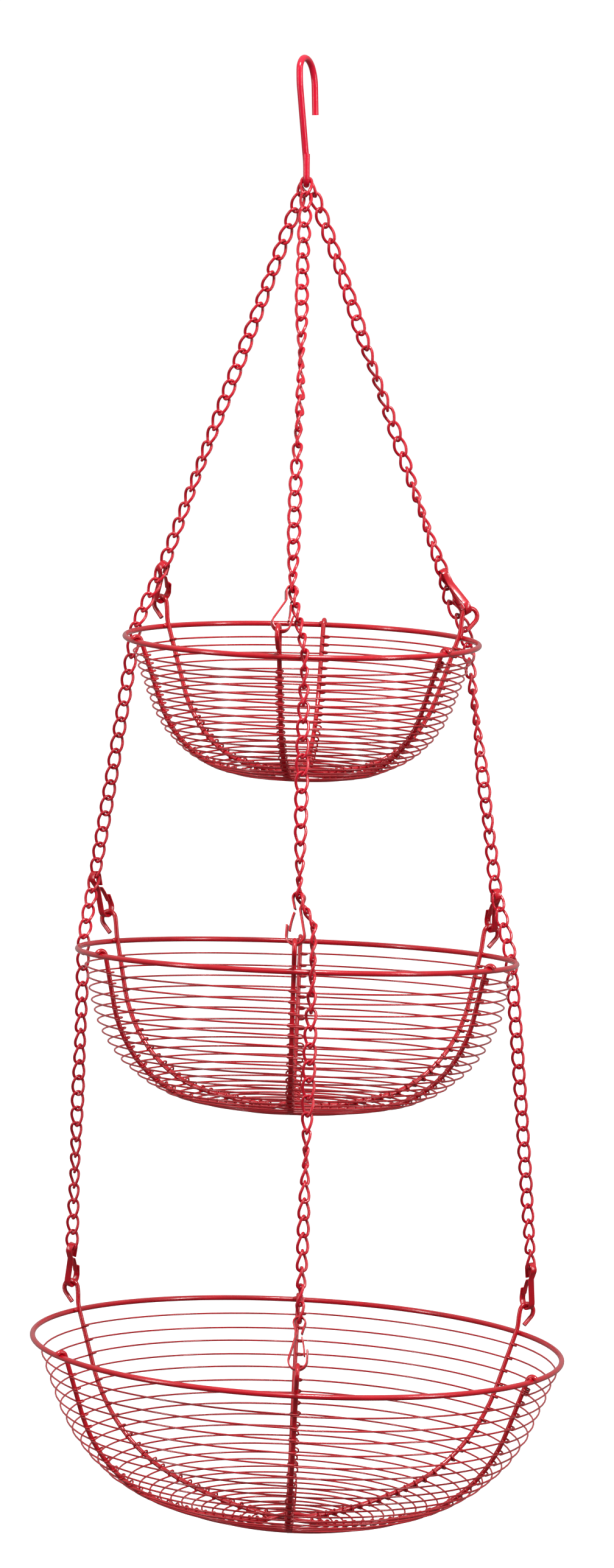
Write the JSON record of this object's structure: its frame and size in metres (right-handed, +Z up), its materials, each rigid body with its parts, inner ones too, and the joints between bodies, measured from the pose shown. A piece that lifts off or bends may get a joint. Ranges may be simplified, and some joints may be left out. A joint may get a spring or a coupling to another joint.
{
  "type": "three-tier hanging wire basket",
  "caption": "Hanging storage basket: a ceiling hook, twisted-link chains, and round wire bowls of growing size hung one below another from spring clips.",
  "frame": {"origin": "in the hook's crook where the basket hangs, level with the highest point of its inside and straight above the hook's eye", "axes": "+Z up along the line of hanging, +X to the right with the front chain facing the viewer, -Y to the front"},
  "size_m": [0.2972, 0.3072, 0.8121],
  "materials": {
    "bowl_enamel": "glossy red enamel on round steel wire",
    "chain_enamel": "glossy red enamel on thin twisted links",
    "clip_enamel": "glossy red enamel on flat spring strip",
    "hook_enamel": "glossy red enamel on round steel wire"
  },
  "bodies": {
    "hook": {"ceiling_hook": "hook_enamel"},
    "upper_tier": {"first_links": "chain_enamel", "left_chain_upper": "chain_enamel", "right_chain_upper": "chain_enamel", "front_chain_upper": "chain_enamel", "small_clip_front_frame": "clip_enamel", "small_clip_left_frame": "clip_enamel", "small_clip_right_frame": "clip_enamel", "small_fine_wire": "bowl_enamel", "small_rib_front": "bowl_enamel", "small_rib_left": "bowl_enamel", "small_rib_right": "bowl_enamel", "small_rim": "bowl_enamel"},
    "middle_chain_left": {"left_chain_middle": "chain_enamel"},
    "middle_chain_right": {"right_chain_middle": "chain_enamel"},
    "middle_chain_front": {"front_chain_middle": "chain_enamel"},
    "middle_tier": {"left_chain_pass": "chain_enamel", "right_chain_pass": "chain_enamel", "front_chain_pass": "chain_enamel", "middle_clip_front_frame": "clip_enamel", "middle_clip_left_frame": "clip_enamel", "middle_clip_right_frame": "clip_enamel", "middle_fine_wire": "bowl_enamel", "middle_rib_front": "bowl_enamel", "middle_rib_left": "bowl_enamel", "middle_rib_right": "bowl_enamel", "middle_rim": "bowl_enamel"},
    "lower_chain_left": {"left_chain_lower": "chain_enamel"},
    "lower_chain_right": {"right_chain_lower": "chain_enamel"},
    "lower_chain_front": {"front_chain_lower": "chain_enamel"},
    "lower_tier": {"large_clip_front_frame": "clip_enamel", "large_clip_left_frame": "clip_enamel", "large_clip_right_frame": "clip_enamel", "large_fine_wire": "bowl_enamel", "large_rib_front": "bowl_enamel", "large_rib_left": "bowl_enamel", "large_rib_right": "bowl_enamel", "large_rim": "bowl_enamel"},
    "small_gate_left": {"small_clip_left_gate": "clip_enamel"},
    "small_gate_right": {"small_clip_right_gate": "clip_enamel"},
    "small_gate_front": {"small_clip_front_gate": "clip_enamel"},
    "middle_gate_left": {"middle_clip_left_gate": "clip_enamel"},
    "middle_gate_right": {"middle_clip_right_gate": "clip_enamel"},
    "middle_gate_front": {"middle_clip_front_gate": "clip_enamel"},
    "large_gate_left": {"large_clip_left_gate": "clip_enamel"},
    "large_gate_right": {"large_clip_right_gate": "clip_enamel"},
    "large_gate_front": {"large_clip_front_gate": "clip_enamel"}
  },
  "joints": [
    {"name": "basket_swing", "type": "hinge", "parent": "hook", "child": "upper_tier", "pos_m": [0, 0, -0.0617], "axis": [1, 0, 0], "range_deg": [-15, 15]},
    {"name": "middle_chain_left_swing", "type": "hinge", "parent": "upper_tier", "child": "middle_chain_left", "pos_m": [-0.09433, 0.04389, -0.31833], "axis": [0, 0.9967, 0.0813], "range_deg": [-6.05, 6.05]},
    {"name": "middle_chain_right_swing", "type": "hinge", "parent": "upper_tier", "child": "middle_chain_right", "pos_m": [0.09264, 0.04635, -0.31932], "axis": [-0.0133, 0.9999, 0.002], "range_deg": [-5.85, 5.85]},
    {"name": "middle_chain_front_swing", "type": "hinge", "parent": "upper_tier", "child": "middle_chain_front", "pos_m": [0.0013, -0.10349, -0.32624], "axis": [-0.0144, 0.9958, -0.0907], "range_deg": [-6.7, 6.7]},
    {"name": "middle_tier_sway", "type": "hinge", "parent": "middle_chain_left", "child": "middle_tier", "pos_m": [-0.11591, 0.05479, -0.45202], "axis": [0.0025, 0.9952, 0.0979], "range_deg": [-5, 5]},
    {"name": "lower_chain_left_swing", "type": "hinge", "parent": "middle_tier", "child": "lower_chain_left", "pos_m": [-0.12148, 0.0414, -0.49408], "axis": [0.0309, 0.9913, 0.1281], "range_deg": [-7.6, 7.6]},
    {"name": "lower_chain_right_swing", "type": "hinge", "parent": "middle_tier", "child": "lower_chain_right", "pos_m": [0.11957, 0.04155, -0.50342], "axis": [0.1002, 0.9835, 0.1503], "range_deg": [-7.65, 7.65]},
    {"name": "lower_chain_front_swing", "type": "hinge", "parent": "middle_tier", "child": "lower_chain_front", "pos_m": [0.00696, -0.12649, -0.4871], "axis": [0.0725, 0.9954, -0.0626], "range_deg": [-6.8, 6.8]},
    {"name": "lower_tier_sway", "type": "hinge", "parent": "lower_chain_left", "child": "lower_tier", "pos_m": [-0.12811, 0.06379, -0.66577], "axis": [0.0648, 0.995, 0.0753], "range_deg": [-7, 7]},
    {"name": "small_clip_left_spring", "type": "hinge", "parent": "upper_tier", "child": "small_gate_left", "pos_m": [-0.07705, 0.0482, -0.28126], "axis": [-0.7064, 0.5113, 0.4895], "range_deg": [0, 14], "stiffness_Nm_per_rad": 0.02},
    {"name": "small_clip_right_spring", "type": "hinge", "parent": "upper_tier", "child": "small_gate_right", "pos_m": [0.08196, 0.04301, -0.28603], "axis": [-0.8156, -0.3717, -0.4436], "range_deg": [0, 14], "stiffness_Nm_per_rad": 0.02},
    {"name": "small_clip_front_spring", "type": "hinge", "parent": "upper_tier", "child": "small_gate_front", "pos_m": [-0.00582, -0.08865, -0.29193], "axis": [-0.2496, 0.8282, -0.5018], "range_deg": [0, 14], "stiffness_Nm_per_rad": 0.02},
    {"name": "middle_clip_left_spring", "type": "hinge", "parent": "middle_tier", "child": "middle_gate_left", "pos_m": [-0.11295, 0.05887, -0.4577], "axis": [-0.8288, 0.5587, -0.031], "range_deg": [0, 14], "stiffness_Nm_per_rad": 0.02},
    {"name": "middle_clip_right_spring", "type": "hinge", "parent": "middle_tier", "child": "middle_gate_right", "pos_m": [0.10909, 0.05218, -0.4645], "axis": [-0.9228, -0.363, -0.1291], "range_deg": [0, 14], "stiffness_Nm_per_rad": 0.02},
    {"name": "middle_clip_front_spring", "type": "hinge", "parent": "middle_tier", "child": "middle_gate_front", "pos_m": [-0.00264, -0.11656, -0.45282], "axis": [-0.258, -0.8974, 0.358], "range_deg": [0, 14], "stiffness_Nm_per_rad": 0.02},
    {"name": "large_clip_left_spring", "type": "hinge", "parent": "lower_tier", "child": "large_gate_left", "pos_m": [-0.12735, 0.06849, -0.67168], "axis": [-0.866, 0.44, 0.2377], "range_deg": [0, 14], "stiffness_Nm_per_rad": 0.02},
    {"name": "large_clip_right_spring", "type": "hinge", "parent": "lower_tier", "child": "large_gate_right", "pos_m": [0.13242, 0.07018, -0.68188], "axis": [-0.8635, -0.4942, -0.101], "range_deg": [0, 14], "stiffness_Nm_per_rad": 0.02},
    {"name": "large_clip_front_spring", "type": "hinge", "parent": "lower_tier", "child": "large_gate_front", "pos_m": [0.00333, -0.14105, -0.67464], "axis": [0.0871, 0.8841, -0.4591], "range_deg": [0, 14], "stiffness_Nm_per_rad": 0.02}
  ],
  "couplings": [
    {"joint": "middle_chain_left_swing", "follows": "middle_tier_sway", "ratio": -1.2056},
    {"joint": "middle_chain_right_swing", "follows": "middle_tier_sway", "ratio": -1.1664},
    {"joint": "middle_chain_front_swing", "follows": "middle_tier_sway", "ratio": -1.3357},
    {"joint": "lower_chain_left_swing", "follows": "lower_tier_sway", "ratio": -1.0822},
    {"joint": "lower_chain_right_swing", "follows": "lower_tier_sway", "ratio": -1.0882},
    {"joint": "lower_chain_front_swing", "follows": "lower_tier_sway", "ratio": -0.96622}
  ]
}
